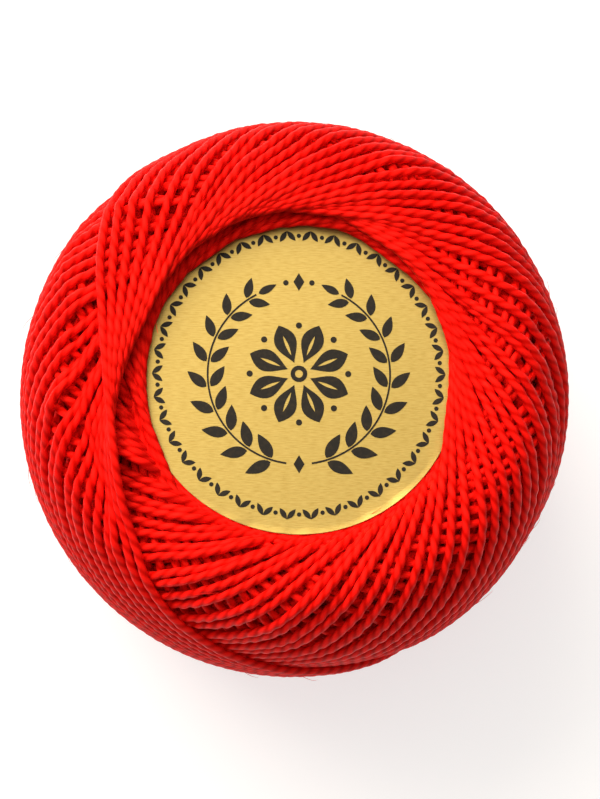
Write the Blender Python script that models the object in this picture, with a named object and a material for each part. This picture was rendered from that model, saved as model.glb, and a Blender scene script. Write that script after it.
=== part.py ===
"""Machine-wound ball of pearl cotton thread with a round foil label, as closed solids.

The ball is one turned form: flat ends, full round shoulders, a shallow recess in the top
end that holds the label, and a funnel in the bottom end where no turn of thread crosses.
The last turns leave a U-shaped step on the top end, and a raised band along one arm of it.
Metres, +Z along the winding axis, origin at the middle of the resting ring.
"""

import math

import bmesh
import bpy
from mathutils import Matrix, Vector

# Driving dimensions, metres.
BALL_RADIUS = 0.016
BALL_HEIGHT = 0.025
PIECE_GAP = 0.0003

# The shoulder curve: it starts flat at this share of the radius, and its two powers say how
# full the end and the side are.
FLAT_SHARE = 0.50
END_POWER = 4.2
SIDE_POWER = 2.1
SHOULDER_POINTS = 13

# The ends of the ball, metres. Depths are measured from the flat end next to them.
LIP_RADIUS = 0.0098
LIP_ROUND = 0.0006
LABEL_DEPTH = 0.0016
FUNNEL_MOUTH = 0.0090
FUNNEL_FLOOR = 0.0035
FUNNEL_DEPTH = 0.0042

# The flat ring that the ball rests on.
REST_INNER = 0.0098
REST_OUTER = 0.0110

# The label: a disc whose rim turns up a little.
LABEL_RADIUS = 0.0087
LABEL_THICKNESS = 0.0004
LABEL_RIM_WIDTH = 0.0012
LABEL_RIM_RISE = 0.00035

# The last turns on the top end.
LAST_TURN_AZIMUTH = math.radians(186.0)
LAST_TURN_CLOSEST = 0.0104
TURN_SPREAD = 1.15
STEP_DEPTH = 0.00035
STEP_SOFTNESS = 0.0009
BAND_HEIGHT = 0.00025
BAND_WIDTH = 0.0013
RELIEF_FADE_TOP = 0.0050
RELIEF_FADE_BOTTOM = 0.0010

STEPS_ROUND = 90


def make_material(name, colour, roughness, metallic):
    """Return a Principled material of one colour, given as linear red, green and blue."""
    material = bpy.data.materials.new(name)
    material.use_nodes = True
    shader = material.node_tree.nodes["Principled BSDF"]
    shader.inputs["Base Color"].default_value = (*colour, 1.0)
    shader.inputs["Roughness"].default_value = roughness
    shader.inputs["Metallic"].default_value = metallic
    return material


def shoulder(radius_share_power):
    """Return (share of the way out, share of the half height) for a quarter-turn angle."""
    out = math.sin(radius_share_power) ** (2.0 / END_POWER)
    up = math.cos(radius_share_power) ** (2.0 / SIDE_POWER)
    return out, up


def shoulder_outline(sign):
    """Return the side's outline from the flat end to just before the widest ring.

    sign is +1 for the top half and -1 for the bottom half. Heights are from the middle.
    """
    half = BALL_HEIGHT / 2
    start = BALL_RADIUS * FLAT_SHARE
    outline = []
    for index in range(SHOULDER_POINTS):
        angle = (index + 1) / (SHOULDER_POINTS + 1) * math.pi / 2
        out, up = shoulder(angle)
        radius = start + (BALL_RADIUS - start) * out
        if radius > REST_OUTER + 0.0004:
            outline.append((radius, sign * half * up))
    return outline


def ball_outline():
    """Return the ball's outline from its axis below to its axis above, as (radius, height)."""
    half = BALL_HEIGHT / 2
    recess_wall = LABEL_RADIUS + PIECE_GAP
    recess_floor = half - LABEL_DEPTH - LABEL_THICKNESS - PIECE_GAP
    funnel_middle = (FUNNEL_FLOOR + FUNNEL_MOUTH) / 2
    below = [
        (0.0, FUNNEL_DEPTH - half),
        (FUNNEL_FLOOR, FUNNEL_DEPTH - half),
        (funnel_middle, FUNNEL_DEPTH * 0.52 - half),
        (FUNNEL_MOUTH, LIP_ROUND - half),
        (REST_INNER - LIP_ROUND * 0.3, LIP_ROUND * 0.12 - half),
        (REST_INNER, -half),
        (REST_OUTER, -half),
    ]
    above = [
        (REST_OUTER, half),
        (LIP_RADIUS, half),
        (LIP_RADIUS - LIP_ROUND * 0.6, half - LIP_ROUND * 0.35),
        (recess_wall, half - LIP_ROUND * 1.3),
        (recess_wall, recess_floor),
        (recess_wall * 0.5, recess_floor),
        (0.0, recess_floor),
    ]
    side = shoulder_outline(-1) + [(BALL_RADIUS, 0.0)] + shoulder_outline(1)[::-1]
    return below + side + above


def label_outline():
    """Return the label's section from its axis below, round its rim, to its axis above."""
    top = BALL_HEIGHT / 2 - LABEL_DEPTH
    flat = LABEL_RADIUS - LABEL_RIM_WIDTH
    bend = LABEL_RADIUS - LABEL_RIM_WIDTH * 0.45
    upper = [
        (0.0, top),
        (flat, top),
        (bend, top + LABEL_RIM_RISE * 0.3),
        (LABEL_RADIUS, top + LABEL_RIM_RISE),
    ]
    lower = [(radius, height - LABEL_THICKNESS) for radius, height in upper]
    return lower + upper[::-1]


def turned(name, outline, material):
    """Spin an open outline, whose two ends lie on the axis, into a closed solid."""
    mesh = bmesh.new()
    points = [mesh.verts.new((radius, 0.0, height)) for radius, height in outline]
    edges = [mesh.edges.new(pair) for pair in zip(points[:-1], points[1:])]
    bmesh.ops.spin(
        mesh,
        geom=points + edges,
        cent=(0.0, 0.0, 0.0),
        axis=(0.0, 0.0, 1.0),
        angle=2 * math.pi,
        steps=STEPS_ROUND,
        use_merge=True,
        use_duplicate=False,
    )
    bmesh.ops.remove_doubles(mesh, verts=mesh.verts, dist=1e-7)
    bmesh.ops.recalc_face_normals(mesh, faces=mesh.faces)
    data = bpy.data.meshes.new(name)
    mesh.to_mesh(data)
    mesh.free()
    data.shade_smooth()
    data.materials.append(material)
    solid = bpy.data.objects.new(name, data)
    bpy.context.scene.collection.objects.link(solid)
    return solid


def smooth_step(low, high, value):
    """Return 0 below low, 1 above high, and a smooth rise between them."""
    share = min(max((value - low) / (high - low), 0.0), 1.0)
    return share * share * (3 - 2 * share)


def last_turn_relief(point):
    """Return how far the last turns raise or lower a point of the ball, in metres.

    Inside the U that the last turn draws, the end is one layer of thread lower, and the
    last few turns lie side by side along its right arm as a low band.
    """
    radius = math.hypot(point.x, point.y)
    if radius <= LAST_TURN_CLOSEST:
        return 0.0
    turn = math.atan2(point.y, point.x) - LAST_TURN_AZIMUTH
    turn = (turn + math.pi) % (2 * math.pi) - math.pi
    half_width = TURN_SPREAD * math.acos(LAST_TURN_CLOSEST / radius)
    inside = (half_width - abs(turn)) * radius
    depth = STEP_DEPTH * smooth_step(0.0, STEP_SOFTNESS, inside)
    from_arm = (turn - half_width) * radius + BAND_WIDTH
    band = BAND_HEIGHT * math.exp(-(from_arm / BAND_WIDTH) ** 2)
    near_top = smooth_step(RELIEF_FADE_BOTTOM, RELIEF_FADE_TOP, point.z)
    return near_top * (band * smooth_step(0.0, math.radians(20.0), turn) - depth)


def shape_last_turns(solid):
    """Move the ball's side and top end along their normals by the last turns' relief."""
    mesh = bmesh.new()
    mesh.from_mesh(solid.data)
    mesh.normal_update()
    moves = [(vertex, vertex.normal * last_turn_relief(vertex.co)) for vertex in mesh.verts]
    for vertex, move in moves:
        vertex.co += move
    mesh.to_mesh(solid.data)
    mesh.free()


def stand(solid):
    """Lift a solid modelled about the ball's middle so that the ball rests at height zero."""
    solid.data.transform(Matrix.Translation(Vector((0.0, 0.0, BALL_HEIGHT / 2))))


def build():
    """Model the ball and its label in an emptied scene."""
    for item in list(bpy.data.objects):
        bpy.data.objects.remove(item, do_unlink=True)
    cotton = make_material("mercerised_cotton", (0.80, 0.012, 0.009), 0.55, 0.0)
    foil = make_material("gold_foil", (0.86, 0.57, 0.15), 0.35, 0.8)
    ball = turned("ball", ball_outline(), cotton)
    shape_last_turns(ball)
    stand(ball)
    label = turned("label", label_outline(), foil)
    stand(label)


build()
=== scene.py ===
"""Looks of a machine-wound ball of red pearl cotton with a round gold foil label.

The thread is laid turn by turn, oldest first, as a winding machine lays it: each turn is a
taut loop that clears the hole in both ends of the ball, and each next loop is turned a little
further round. A height map of the thread already laid lifts each new turn over the ones that
it crosses. Metres, +Z up along the winding axis, the ball standing on z = 0.
"""

import logging
import math
from dataclasses import dataclass, field
from enum import Enum
from typing import Any, Callable, Sequence

import bmesh
import bpy
import numpy as np
from mathutils import Matrix, Vector


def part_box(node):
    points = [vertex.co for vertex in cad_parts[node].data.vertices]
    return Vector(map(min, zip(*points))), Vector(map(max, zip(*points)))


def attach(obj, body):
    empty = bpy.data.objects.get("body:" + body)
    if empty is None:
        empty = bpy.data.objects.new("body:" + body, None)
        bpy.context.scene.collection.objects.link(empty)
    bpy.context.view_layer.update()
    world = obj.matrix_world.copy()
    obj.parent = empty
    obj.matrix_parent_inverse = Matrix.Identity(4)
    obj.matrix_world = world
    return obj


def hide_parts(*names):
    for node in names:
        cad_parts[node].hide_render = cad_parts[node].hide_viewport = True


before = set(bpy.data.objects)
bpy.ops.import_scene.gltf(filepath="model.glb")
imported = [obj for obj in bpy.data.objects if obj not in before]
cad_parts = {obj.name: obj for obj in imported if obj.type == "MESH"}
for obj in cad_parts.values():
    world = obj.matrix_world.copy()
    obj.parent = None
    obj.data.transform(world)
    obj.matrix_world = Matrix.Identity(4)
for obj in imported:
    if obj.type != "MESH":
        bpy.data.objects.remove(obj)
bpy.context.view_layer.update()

LOG = logging.getLogger("thread_ball")
MM = 0.001
SEED = 94
BALL_HEIGHT = 25.0 * MM     # over its flats, without the turns that pile up on the lip
LABEL_LEVEL = 23.25 * MM
LABEL_TUCK = 0.15 * MM      # how much further the foil reaches under the thread than in CAD


# --- Shape helpers ---------------------------------------------------------------------------


def ease(share: np.ndarray) -> np.ndarray:
    """Turn shares from 0 to 1 into shares that start and end gently."""
    return share * share * (3 - 2 * share)


def smoothed(values: np.ndarray, reach: int, mode: str = "edge") -> np.ndarray:
    """Smooth a row of values with a bell-shaped window.

    Args:
        values: The row.
        reach: How many neighbours to each side the window covers.
        mode: How the row goes on past its ends: "edge" or "wrap".

    Returns:
        The smoothed row, of the same length.
    """
    window = np.hanning(2 * reach + 1)
    window /= window.sum()
    return np.convolve(np.pad(values, reach, mode=mode), window, mode="valid")


def add_object(name: str, mesh: bpy.types.Mesh) -> bpy.types.Object:
    """Put a mesh in the scene as an object of its own, at the origin.

    Args:
        name: The object's name, which the mesh takes as well.
        mesh: The mesh.

    Returns:
        The object.
    """
    mesh.name = name
    piece = bpy.data.objects.new(name, mesh)
    bpy.context.scene.collection.objects.link(piece)
    return piece


def curve_mesh(curve: bpy.types.Curve) -> bpy.types.Mesh:
    """Turn a curve into a mesh.

    Args:
        curve: The curve, with its bevel or fill.

    Returns:
        The mesh.
    """
    guide = bpy.data.objects.new(curve.name + "_path", curve)
    bpy.context.scene.collection.objects.link(guide)
    bpy.context.view_layer.update()
    shaped = guide.evaluated_get(bpy.context.evaluated_depsgraph_get())
    mesh = bpy.data.meshes.new_from_object(shaped)
    bpy.data.objects.remove(guide, do_unlink=True)
    return mesh


def turned(profile: Sequence[tuple[float, float]], steps: int) -> bmesh.types.BMesh:
    """Spin a profile once round the winding axis.

    Args:
        profile: Distance from the axis and height of each of its points.
        steps: Number of steps round the axis.

    Returns:
        The turned shape.
    """
    mesh = bmesh.new()
    points = [mesh.verts.new((out, 0.0, up)) for out, up in profile]
    edges = [mesh.edges.new(pair) for pair in zip(points[:-1], points[1:])]
    bmesh.ops.spin(
        mesh,
        geom=points + edges,
        cent=(0.0, 0.0, 0.0),
        axis=(0.0, 0.0, 1.0),
        angle=2 * math.pi,
        steps=steps,
        use_merge=True,
        use_duplicate=False,
    )
    bmesh.ops.remove_doubles(mesh, verts=mesh.verts, dist=1e-6)
    return mesh


# --- Colour and node helpers -----------------------------------------------------------------


def linear(hex_colour: str, alpha: float = 1.0) -> tuple[float, float, float, float]:
    """Turn an sRGB hex colour into the linear values that Blender works in.

    Args:
        hex_colour: A colour such as "#d81a12".
        alpha: The fourth value.

    Returns:
        Linear red, green, blue and alpha.
    """
    digits = hex_colour.lstrip("#")
    values = [int(digits[start:start + 2], 16) / 255 for start in (0, 2, 4)]
    red, green, blue = [
        value / 12.92 if value <= 0.04045 else ((value + 0.055) / 1.055) ** 2.4
        for value in values
    ]
    return red, green, blue, alpha


def add_node(
    tree: bpy.types.NodeTree,
    kind: str,
    settings: dict[str, Any] | None = None,
    inputs: dict[Any, Any] | None = None,
) -> bpy.types.Node:
    """Add one node with its settings, input values and links.

    Args:
        tree: The node tree that gets the node.
        kind: The node's type, such as "ShaderNodeTexNoise".
        settings: Attributes to set, such as {"operation": "MULTIPLY"}.
        inputs: A value or an output socket for each named or numbered input.

    Returns:
        The new node.
    """
    node = tree.nodes.new(kind)
    for name, value in (settings or {}).items():
        setattr(node, name, value)
    for name, value in (inputs or {}).items():
        if isinstance(value, bpy.types.NodeSocket):
            tree.links.new(value, node.inputs[name])
        else:
            node.inputs[name].default_value = value
    return node


def empty_material(name: str) -> tuple[bpy.types.Material, bpy.types.NodeTree]:
    """Make a material with no nodes in it.

    Args:
        name: The material's name.

    Returns:
        The material and its node tree.
    """
    material = bpy.data.materials.new(name)
    material.use_nodes = True
    material.node_tree.nodes.clear()
    return material, material.node_tree


def set_ramp(node: bpy.types.Node, stops: Sequence[tuple[float, tuple]]) -> None:
    """Give a colour ramp its stops.

    Args:
        node: A colour ramp node.
        stops: Position and linear colour of each stop, from low to high.
    """
    ramp = node.color_ramp
    while len(ramp.elements) < len(stops):
        ramp.elements.new(1.0)
    for element, (position, colour) in zip(ramp.elements, stops):
        element.position = position
        element.color = colour


# --- Finishes --------------------------------------------------------------------------------


@dataclass(frozen=True)
class PearlCotton:
    """Mercerised two-ply pearl cotton: satin lustre, fine fibres, painted shade between the
    plies.

    The thread's own UV map runs along it in millimetres and round it by plies, so the fibres
    and the painted groove shade follow it.

    Attributes:
        name: The material's name.
        bright: Colour where the dye took well.
        deep: Colour where it took less.
        groove: Painted shade: the darker colour where the two plies meet.
        lustre: Colour of the shine, which silky fibres tint.
        shine: How strong the shine is, where 0.5 is that of a plain glossy solid.
        roughness: Roughness of the smoothest fibres, before their own variation.
        fibre_width: Width of a fibre, in plies, coarse enough to show.
        fibre_length_mm: Length of a fibre, in millimetres as the UV map has it.
        fibre_height: How far a fibre stands up.
        patch: Size of the slow patches of dye and lustre.
    """

    name: str = "mercerised_pearl_cotton"
    bright: str = "#fd1d15"
    deep: str = "#f5120f"
    groove: str = "#c80602"
    lustre: str = "#ff7050"
    shine: float = 0.15
    roughness: float = 0.50
    fibre_width: float = 1 / 16
    fibre_length_mm: float = 0.7
    fibre_height: float = 0.03 * MM
    patch: float = 4.0 * MM

    def make(self) -> bpy.types.Material:
        """Build the material.

        Returns:
            The material.
        """
        material, tree = empty_material(self.name)
        uv = add_node(tree, "ShaderNodeUVMap", {"uv_map": "UVMap"})
        axes = add_node(tree, "ShaderNodeSeparateXYZ", inputs={0: uv.outputs["UV"]})
        # Fibres: noise stretched along the thread, so it reads as combed cotton hairs.
        along = add_node(
            tree,
            "ShaderNodeMath",
            {"operation": "MULTIPLY"},
            {0: axes.outputs[0], 1: 1 / self.fibre_length_mm},
        )
        across = add_node(
            tree,
            "ShaderNodeMath",
            {"operation": "MULTIPLY"},
            {0: axes.outputs[1], 1: 1 / self.fibre_width},
        )
        place = add_node(
            tree,
            "ShaderNodeCombineXYZ",
            inputs={0: along.outputs[0], 1: across.outputs[0]},
        )
        fibres = add_node(
            tree,
            "ShaderNodeTexNoise",
            {"noise_dimensions": "3D"},
            {"Vector": place.outputs[0], "Scale": 1.0, "Detail": 3.0, "Roughness": 0.6},
        )
        # Slow patches of dye and lustre over the whole ball.
        position = add_node(tree, "ShaderNodeTexCoord")
        patches = add_node(
            tree,
            "ShaderNodeTexNoise",
            inputs={
                "Vector": position.outputs["Object"],
                "Scale": 1 / self.patch,
                "Detail": 2.0,
            },
        )
        quarter = add_node(
            tree,
            "ShaderNodeMath",
            {"operation": "MULTIPLY"},
            {0: patches.outputs["Fac"], 1: 0.25},
        )
        mixed = add_node(
            tree,
            "ShaderNodeMath",
            {"operation": "MULTIPLY_ADD"},
            {0: fibres.outputs["Fac"], 1: 0.75, 2: quarter.outputs[0]},
        )
        tint = add_node(tree, "ShaderNodeValToRGB", inputs={0: mixed.outputs[0]})
        set_ramp(tint, [(0.35, linear(self.deep)), (0.62, linear(self.bright))])
        # The two plies meet twice round the thread, at the waists of its section.
        waist = add_node(
            tree,
            "ShaderNodeMath",
            {"operation": "PINGPONG"},
            {0: axes.outputs[1], 1: 0.5},
        )
        # Painted shade: this mix darkens the colour to the groove colour towards the waists.
        groove_shade_mix = add_node(
            tree,
            "ShaderNodeMapRange",
            {"interpolation_type": "SMOOTHSTEP"},
            {"Value": waist.outputs[0], "From Min": 0.0, "From Max": 0.40},
        )
        colour = add_node(
            tree,
            "ShaderNodeMix",
            {"data_type": "RGBA"},
            {0: groove_shade_mix.outputs[0], 6: linear(self.groove), 7: tint.outputs[0]},
        )
        bump = add_node(
            tree,
            "ShaderNodeBump",
            inputs={
                "Height": fibres.outputs["Fac"],
                "Strength": 0.4,
                "Distance": self.fibre_height,
            },
        )
        gloss = add_node(
            tree,
            "ShaderNodeMapRange",
            inputs={
                "Value": fibres.outputs["Fac"],
                "To Min": self.roughness - 0.08,
                "To Max": self.roughness + 0.14,
            },
        )
        shader = add_node(
            tree,
            "ShaderNodeBsdfPrincipled",
            inputs={
                "Base Color": colour.outputs[2],
                "Roughness": gloss.outputs[0],
                "Normal": bump.outputs[0],
                "IOR": 1.53,
                "Specular IOR Level": self.shine,
                "Specular Tint": linear(self.lustre),
            },
        )
        add_node(tree, "ShaderNodeOutputMaterial", inputs={"Surface": shader.outputs[0]})
        return material


@dataclass(frozen=True)
class PackedCottonPaintedShade:
    """Older packed turns under the top ones: the same dye, painted darker as shade deep in the
    gaps.

    Attributes:
        name: The material's name.
        light: Colour on the crests of the strands, darkened as painted shade.
        dark: Colour between them, darker still as painted shade.
        strand: Width of a strand.
    """

    name: str = "packed_pearl_cotton_painted_shade"
    light: str = "#c00a07"
    dark: str = "#800304"
    strand: float = 0.5 * MM

    def make(self) -> bpy.types.Material:
        """Build the material.

        Returns:
            The material.
        """
        material, tree = empty_material(self.name)
        position = add_node(tree, "ShaderNodeTexCoord")
        strands = add_node(
            tree,
            "ShaderNodeTexNoise",
            inputs={
                "Vector": position.outputs["Object"],
                "Scale": 1 / (2 * self.strand),
                "Detail": 3.0,
            },
        )
        # Painted shade: both colours are darker than the top thread's, darkest between the
        # noise's strands.
        tint = add_node(tree, "ShaderNodeValToRGB", inputs={0: strands.outputs["Fac"]})
        set_ramp(tint, [(0.35, linear(self.dark)), (0.65, linear(self.light))])
        bump = add_node(
            tree,
            "ShaderNodeBump",
            inputs={"Height": strands.outputs["Fac"], "Strength": 0.8, "Distance": 0.2 * MM},
        )
        shader = add_node(
            tree,
            "ShaderNodeBsdfPrincipled",
            inputs={
                "Base Color": tint.outputs[0],
                "Roughness": 0.7,
                "Normal": bump.outputs[0],
            },
        )
        add_node(tree, "ShaderNodeOutputMaterial", inputs={"Surface": shader.outputs[0]})
        return material


@dataclass(frozen=True)
class GoldFoil:
    """Metallised paper, brushed in one direction: satin gold with fine level streaks.

    Attributes:
        name: The material's name.
        light: Colour of the light streaks.
        dark: Colour of the dark streaks.
        roughness: Roughness of the smoothest streaks, before their own variation.
        streak: Width of a streak.
        streak_share: A streak's width as a share of its length.
    """

    name: str = "brushed_gold_foil_paper"
    light: str = "#b29a55"
    dark: str = "#a28843"
    roughness: float = 0.43
    streak: float = 0.06 * MM
    streak_share: float = 0.12

    def make(self) -> bpy.types.Material:
        """Build the material.

        Returns:
            The material.
        """
        material, tree = empty_material(self.name)
        position = add_node(tree, "ShaderNodeTexCoord")
        stretched = add_node(
            tree,
            "ShaderNodeMapping",
            inputs={
                "Vector": position.outputs["Object"],
                "Scale": (self.streak_share / self.streak, 1 / self.streak, 1.0),
            },
        )
        streaks = add_node(
            tree,
            "ShaderNodeTexNoise",
            inputs={"Vector": stretched.outputs[0], "Scale": 1.0, "Detail": 4.0},
        )
        tint = add_node(tree, "ShaderNodeValToRGB", inputs={0: streaks.outputs["Fac"]})
        set_ramp(tint, [(0.3, linear(self.dark)), (0.6, linear(self.light))])
        gloss = add_node(
            tree,
            "ShaderNodeMapRange",
            inputs={
                "Value": streaks.outputs["Fac"],
                "To Min": self.roughness - 0.06,
                "To Max": self.roughness + 0.12,
            },
        )
        bump = add_node(
            tree,
            "ShaderNodeBump",
            inputs={"Height": streaks.outputs["Fac"], "Strength": 0.25, "Distance": 0.02 * MM},
        )
        shader = add_node(
            tree,
            "ShaderNodeBsdfPrincipled",
            inputs={
                "Base Color": tint.outputs[0],
                "Metallic": 0.8,
                "Roughness": gloss.outputs[0],
                "Normal": bump.outputs[0],
            },
        )
        add_node(tree, "ShaderNodeOutputMaterial", inputs={"Surface": shader.outputs[0]})
        return material


@dataclass(frozen=True)
class PrintingInk:
    """Dark brown printing ink on foil: matt, thin, a little uneven in cover.

    Attributes:
        name: The material's name.
        full: Colour where the ink covers well.
        thin: Colour where the foil shines through.
        patch: Size of the patches of thin ink.
    """

    name: str = "dark_brown_printing_ink"
    full: str = "#17120a"
    thin: str = "#261e10"
    patch: float = 0.2 * MM

    def make(self) -> bpy.types.Material:
        """Build the material.

        Returns:
            The material.
        """
        material, tree = empty_material(self.name)
        position = add_node(tree, "ShaderNodeTexCoord")
        cover = add_node(
            tree,
            "ShaderNodeTexNoise",
            inputs={"Vector": position.outputs["Object"], "Scale": 1 / self.patch},
        )
        tint = add_node(tree, "ShaderNodeValToRGB", inputs={0: cover.outputs["Fac"]})
        set_ramp(tint, [(0.45, linear(self.full)), (0.75, linear(self.thin))])
        shader = add_node(
            tree,
            "ShaderNodeBsdfPrincipled",
            inputs={
                "Base Color": tint.outputs[0],
                "Roughness": 0.55,
                "Specular IOR Level": 0.2,
            },
        )
        add_node(tree, "ShaderNodeOutputMaterial", inputs={"Surface": shader.outputs[0]})
        return material


@dataclass(frozen=True)
class LightTable:
    """Matt white acrylic, lit from below so that shadows on it stay faint.

    Attributes:
        name: The material's name.
        colour: Colour of the acrylic.
        glow: Strength of the light that comes through it.
    """

    name: str = "white_acrylic_light_table"
    colour: str = "#a6a6a6"
    glow: float = 0.70

    def make(self) -> bpy.types.Material:
        """Build the material.

        Returns:
            The material.
        """
        material, tree = empty_material(self.name)
        shader = add_node(
            tree,
            "ShaderNodeBsdfPrincipled",
            inputs={
                "Base Color": linear(self.colour),
                "Roughness": 0.9,
                "Emission Color": linear("#ffffff"),
                "Emission Strength": self.glow,
            },
        )
        add_node(tree, "ShaderNodeOutputMaterial", inputs={"Surface": shader.outputs[0]})
        return material


# --- The ball's outline ----------------------------------------------------------------------


@dataclass
class BallOutline:
    """The meridian of the ball, from the hole in its top end to the hole in its bottom end.

    Attributes:
        radius: The ball's radius.
        half_height: Half of the ball's height.
        flat_share: Share of the radius where the shoulder's curve starts.
        end_power: How full the ends are.
        side_power: How full the side is.
        hole_share: Share of the radius where the meridian starts and ends.
        step: Distance between the meridian's points.
        shoulder_points: Points worked out on the curve of one shoulder.
        bend_reach: How many points to each side the curvature is averaged over.
        steep_slope: Slope of the radius from which a path's steps are worked out exactly.
        along: Distance along the meridian of each of its points.
        out: Each point's distance from the axis.
        up: Each point's height over the middle of the ball.
        normal_out: Outward part of the surface's normal at each point.
        normal_up: Upward part of it.
        bend: Curvature of the meridian at each point.
    """

    radius: float
    half_height: float
    flat_share: float = 0.50
    end_power: float = 4.2
    side_power: float = 2.1
    hole_share: float = 0.46
    step: float = 0.1 * MM
    shoulder_points: int = 1500
    bend_reach: int = 4
    steep_slope: float = 0.3
    along: np.ndarray = field(init=False)
    out: np.ndarray = field(init=False)
    up: np.ndarray = field(init=False)
    normal_out: np.ndarray = field(init=False)
    normal_up: np.ndarray = field(init=False)
    bend: np.ndarray = field(init=False)

    def __post_init__(self) -> None:
        """Work out the meridian's points, normals and curvature."""
        # Cubed, so that the points crowd where the flat end turns into the shoulder.
        angle = np.linspace(0.0, 1.0, self.shoulder_points) ** 3 * math.pi / 2
        start = self.radius * self.flat_share
        out = start + (self.radius - start) * np.sin(angle) ** (2 / self.end_power)
        up = self.half_height * np.clip(np.cos(angle), 0, 1) ** (2 / self.side_power)
        out = np.concatenate([[self.radius * self.hole_share], out])
        up = np.concatenate([[self.half_height], up])
        out = np.concatenate([out, out[-2::-1]])
        up = np.concatenate([up, -up[-2::-1]])
        run = np.concatenate([[0.0], np.cumsum(np.hypot(np.diff(out), np.diff(up)))])
        count = int(run[-1] / self.step) + 1
        self.along = np.linspace(0.0, run[-1], count)
        self.out = np.interp(self.along, run, out)
        self.up = np.interp(self.along, run, up)
        slope_out = np.gradient(self.out, self.along)
        slope_up = np.gradient(self.up, self.along)
        length = np.hypot(slope_out, slope_up)
        self.normal_out = -slope_up / length
        self.normal_up = slope_out / length
        heading = np.unwrap(np.arctan2(slope_up, slope_out))
        bend = np.pad(-np.gradient(heading, self.along), self.bend_reach, mode="edge")
        averaged = 2 * self.bend_reach + 1
        self.bend = np.convolve(bend, np.ones(averaged) / averaged, mode="valid")

    def at(self, along: np.ndarray, values: np.ndarray) -> np.ndarray:
        """Read one of the meridian's columns at given distances along it.

        Args:
            along: Distances along the meridian.
            values: The column, such as self.out.

        Returns:
            The column's values there.
        """
        return np.interp(along, self.along, values)

    def lifted(self, along: np.ndarray, lift: np.ndarray) -> tuple[np.ndarray, np.ndarray]:
        """Place points over the surface.

        Args:
            along: Distance along the meridian of each point.
            lift: Height over the surface of each point.

        Returns:
            Each point's distance from the axis and its height over the middle of the ball.
        """
        out = self.at(along, self.out) + lift * self.at(along, self.normal_out)
        up = self.at(along, self.up) + lift * self.at(along, self.normal_up)
        return out, up

    def half_loop(self, closest: float, samples: int) -> tuple[np.ndarray, np.ndarray, float]:
        """Trace the shortest path from the top hole to the bottom hole.

        The path touches the circle of radius closest at both ends of the ball. On a turned
        surface, radius times the cosine of the path's slope stays equal to closest.

        Args:
            closest: The path's closest distance to the axis.
            samples: How many points, evenly spaced along the path.

        Returns:
            Distance along the meridian and turn about the axis for each point, and the
            path's length.
        """
        inside = np.nonzero(self.out > closest)[0]
        first, last = inside[0], inside[-1]
        lead = (closest - self.out[first - 1]) / (self.out[first] - self.out[first - 1])
        begin = self.along[first - 1] + lead * (self.along[first] - self.along[first - 1])
        tail = (closest - self.out[last + 1]) / (self.out[last] - self.out[last + 1])
        end = self.along[last + 1] + tail * (self.along[last] - self.along[last + 1])
        along = np.concatenate([[begin], self.along[first:last + 1], [end]])
        out = np.concatenate([[closest], self.out[first:last + 1], [closest]])
        run = np.diff(along)
        rise = np.diff(out)
        reach = np.sqrt(np.maximum(out**2 - closest**2, 0.0))
        bearing = np.arccos(np.clip(closest / out, -1, 1))
        middle = (out[1:] + out[:-1]) / 2
        middle_reach = np.sqrt(np.maximum(middle**2 - closest**2, 1e-12))
        # Exact over a step where the radius changes fast, its mean radius where it hardly does.
        steep = np.abs(rise) > self.steep_slope * run
        safe = np.where(steep, rise, 1.0)
        turn = np.where(
            steep,
            np.diff(bearing) * run / safe,
            closest * run / (middle * middle_reach),
        )
        length = np.where(steep, np.diff(reach) * run / safe, middle * run / middle_reach)
        turn = np.concatenate([[0.0], np.cumsum(turn)])
        length = np.concatenate([[0.0], np.cumsum(length)])
        even = np.linspace(0.0, length[-1], samples)
        return np.interp(even, length, along), np.interp(even, length, turn), length[-1]


# --- The winding -----------------------------------------------------------------------------


@dataclass(frozen=True)
class Turn:
    """One loop of thread.

    Attributes:
        azimuth: Where the loop passes closest to the axis on the top end, in radians.
        closest: How close it passes there.
    """

    azimuth: float
    closest: float


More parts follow.
